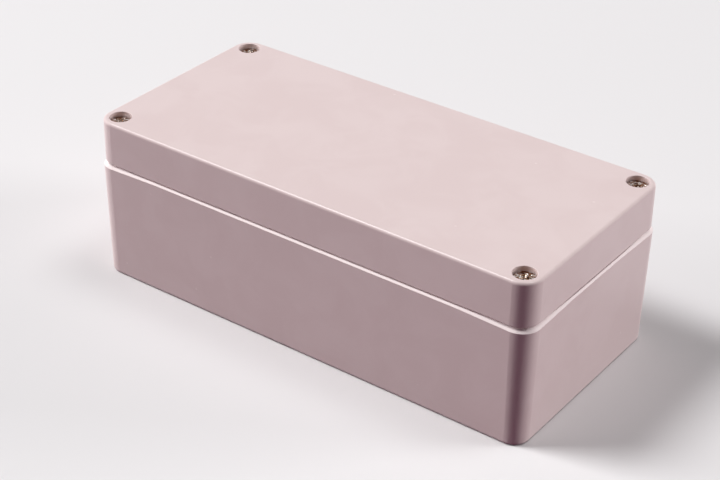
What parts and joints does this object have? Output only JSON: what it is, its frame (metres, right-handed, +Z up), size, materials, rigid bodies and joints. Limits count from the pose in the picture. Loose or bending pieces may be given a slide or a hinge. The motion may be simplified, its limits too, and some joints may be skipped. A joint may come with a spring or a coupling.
{
  "type": "polyester enclosure",
  "caption": "Oblong glass-fibre polyester box with drafted sides, round corners and a sealed lid held by captive corner screws, for mounting on a wall and housing electronics.",
  "frame": {"origin": "middle of the base's underside", "axes": "+X along the length, +Y across the width, +Z up through the lid"},
  "size_m": [0.16, 0.075, 0.055],
  "materials": {
    "polyester": "satin compression-moulded polyester in a warm light grey",
    "stainless": "bright cold-headed stainless steel",
    "brass": "turned brass",
    "gasket_rubber": "matte black sealing rubber",
    "nylon": "natural nylon"
  },
  "bodies": {
    "base": {"base": "polyester", "corner_insert_1": "brass", "corner_insert_2": "brass", "corner_insert_3": "brass", "corner_insert_4": "brass", "floor_insert_1": "brass", "floor_insert_2": "brass", "floor_insert_3": "brass", "floor_insert_4": "brass"},
    "lid": {"lid": "polyester", "gasket": "gasket_rubber"},
    "retainer_1": {"screw_retainer_1": "nylon"},
    "screw_1": {"lid_screw_1": "stainless"},
    "retainer_2": {"screw_retainer_2": "nylon"},
    "screw_2": {"lid_screw_2": "stainless"},
    "retainer_3": {"screw_retainer_3": "nylon"},
    "screw_3": {"lid_screw_3": "stainless"},
    "retainer_4": {"screw_retainer_4": "nylon"},
    "screw_4": {"lid_screw_4": "stainless"}
  },
  "joints": [
    {"name": "lid_lift", "type": "slide", "parent": "base", "child": "lid", "axis": [0, 0, 1], "range_m": [0, 0.06]},
    {"name": "retainer_1_rise", "type": "slide", "parent": "lid", "child": "retainer_1", "axis": [0, 0, 1], "range_m": [0, 0.0056]},
    {"name": "lid_screw_1_turn", "type": "hinge", "parent": "retainer_1", "child": "screw_1", "pos_m": [-0.074, -0.0315, 0.0509], "axis": [0, 0, 1], "range_deg": [0, 2880]},
    {"name": "retainer_2_rise", "type": "slide", "parent": "lid", "child": "retainer_2", "axis": [0, 0, 1], "range_m": [0, 0.0056]},
    {"name": "lid_screw_2_turn", "type": "hinge", "parent": "retainer_2", "child": "screw_2", "pos_m": [0.074, -0.0315, 0.0509], "axis": [0, 0, 1], "range_deg": [0, 2880]},
    {"name": "retainer_3_rise", "type": "slide", "parent": "lid", "child": "retainer_3", "axis": [0, 0, 1], "range_m": [0, 0.0056]},
    {"name": "lid_screw_3_turn", "type": "hinge", "parent": "retainer_3", "child": "screw_3", "pos_m": [0.074, 0.0315, 0.0509], "axis": [0, 0, 1], "range_deg": [0, 2880]},
    {"name": "retainer_4_rise", "type": "slide", "parent": "lid", "child": "retainer_4", "axis": [0, 0, 1], "range_m": [0, 0.0056]},
    {"name": "lid_screw_4_turn", "type": "hinge", "parent": "retainer_4", "child": "screw_4", "pos_m": [-0.074, 0.0315, 0.0509], "axis": [0, 0, 1], "range_deg": [0, 2880]}
  ],
  "couplings": [
    {"joint": "lid_screw_1_turn", "follows": "retainer_1_rise", "rad_per_m": 8976},
    {"joint": "lid_screw_2_turn", "follows": "retainer_2_rise", "rad_per_m": 8976},
    {"joint": "lid_screw_3_turn", "follows": "retainer_3_rise", "rad_per_m": 8976},
    {"joint": "lid_screw_4_turn", "follows": "retainer_4_rise", "rad_per_m": 8976}
  ]
}
